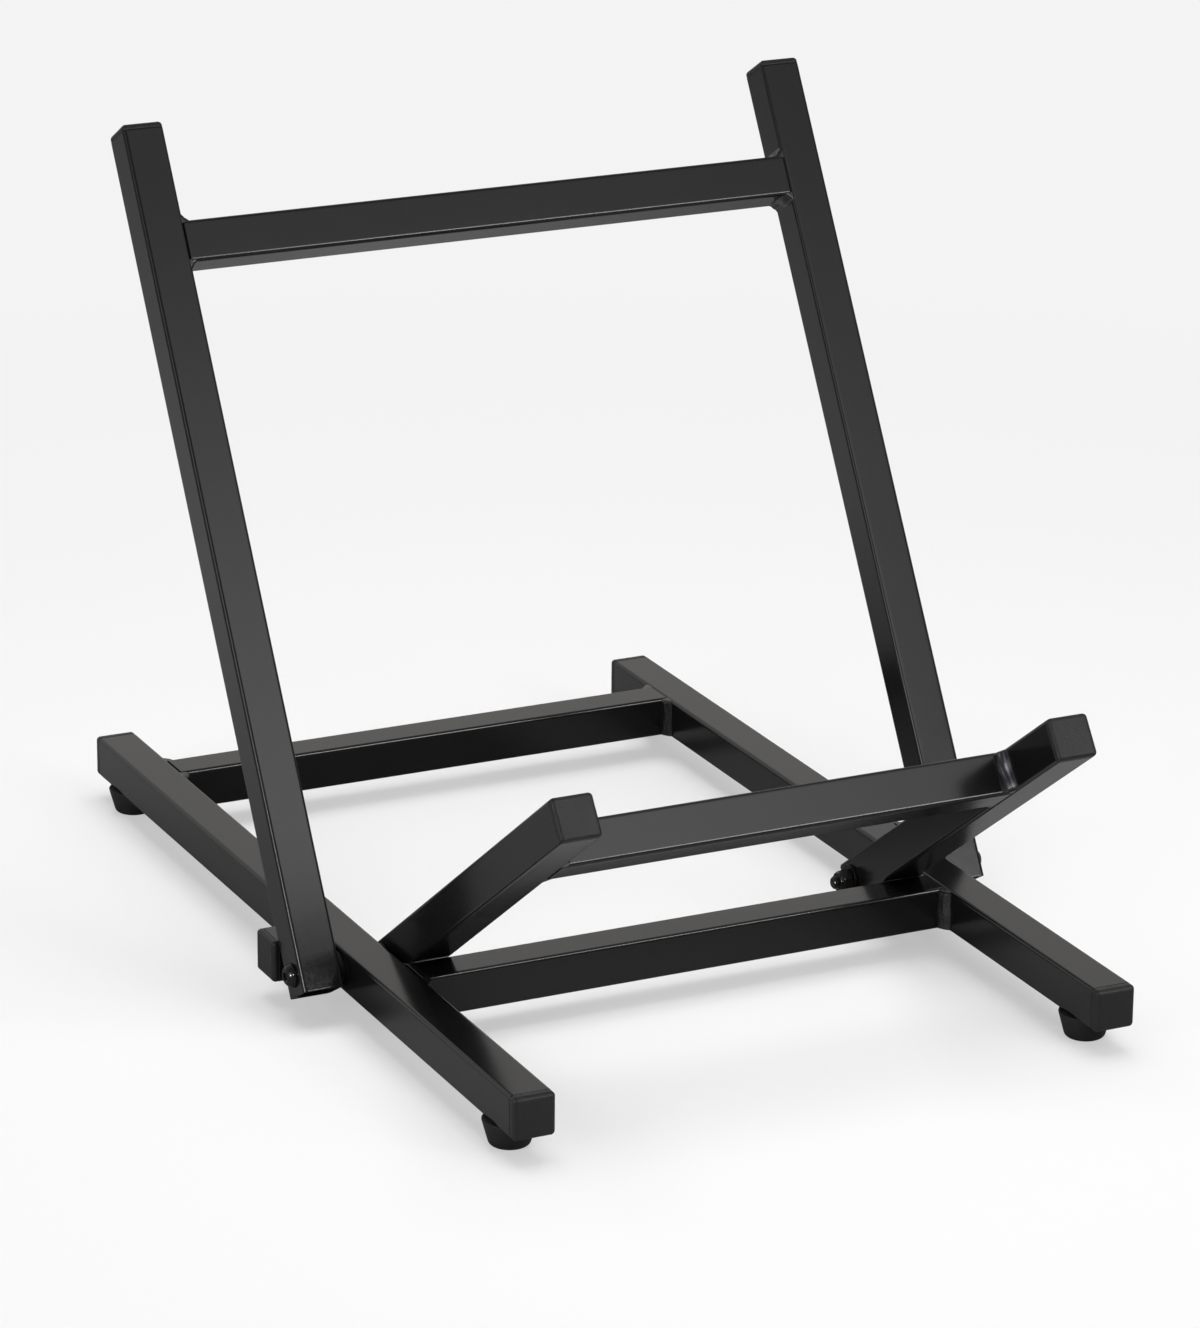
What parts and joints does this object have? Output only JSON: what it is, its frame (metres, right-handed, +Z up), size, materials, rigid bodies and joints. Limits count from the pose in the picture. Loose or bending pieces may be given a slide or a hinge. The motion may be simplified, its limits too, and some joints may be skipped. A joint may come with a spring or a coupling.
{
  "type": "folding amp stand",
  "caption": "Folding floor stand of square steel tube: a long base on rubber feet, a leaning backrest frame and a tilted shelf frame that fold flat about one pivot line.",
  "frame": {"origin": "on the floor, in the middle of the base frame's width and length", "axes": "+X to the right seen from the front, +Y to the rear, +Z up"},
  "size_m": [0.4572, 0.634, 0.4741],
  "materials": {
    "black_coat": "satin black powder coat with fine texture",
    "weld_metal": "glossy black coat over lumpy weld beads",
    "plug_plastic": "moulded black plastic with fine matte grain",
    "foot_rubber": "black rubber",
    "black_steel": "black oxide steel",
    "zinc_steel": "zinc plated",
    "nylon": "black nylon"
  },
  "bodies": {
    "base": {"left_rail": "black_coat", "right_rail": "black_coat", "front_crossbar": "black_coat", "rear_crossbar": "black_coat", "base_welds": "weld_metal", "left_stop_stub": "black_coat", "right_stop_stub": "black_coat", "left_stop_plug": "plug_plastic", "right_stop_plug": "plug_plastic", "front_left_rail_plug": "plug_plastic", "front_right_rail_plug": "plug_plastic", "rear_left_rail_plug": "plug_plastic", "rear_right_rail_plug": "plug_plastic", "front_left_foot": "foot_rubber", "front_right_foot": "foot_rubber", "rear_left_foot": "foot_rubber", "rear_right_foot": "foot_rubber", "foot_discs": "zinc_steel", "foot_screws": "zinc_steel", "left_pivot_bolt": "black_steel", "right_pivot_bolt": "black_steel", "left_lock_nut": "black_steel", "right_lock_nut": "black_steel", "lock_nut_rings": "nylon", "nut_washers": "black_steel", "outer_spacers": "nylon", "inner_spacers": "nylon"},
    "backrest": {"left_upright": "black_coat", "right_upright": "black_coat", "backrest_crossbar": "black_coat", "backrest_welds": "weld_metal", "left_upright_plug": "plug_plastic", "right_upright_plug": "plug_plastic"},
    "shelf": {"left_arm": "black_coat", "right_arm": "black_coat", "shelf_crossbar": "black_coat", "shelf_welds": "weld_metal", "left_arm_plug": "plug_plastic", "right_arm_plug": "plug_plastic"}
  },
  "joints": [
    {"name": "backrest_fold", "type": "hinge", "parent": "base", "child": "backrest", "pos_m": [0, -0.076, 0.0283], "axis": [1, 0, 0], "range_deg": [0, 120.5]},
    {"name": "shelf_fold", "type": "hinge", "parent": "base", "child": "shelf", "pos_m": [0, -0.076, 0.0283], "axis": [-1, 0, 0], "range_deg": [0, 144.2]}
  ]
}
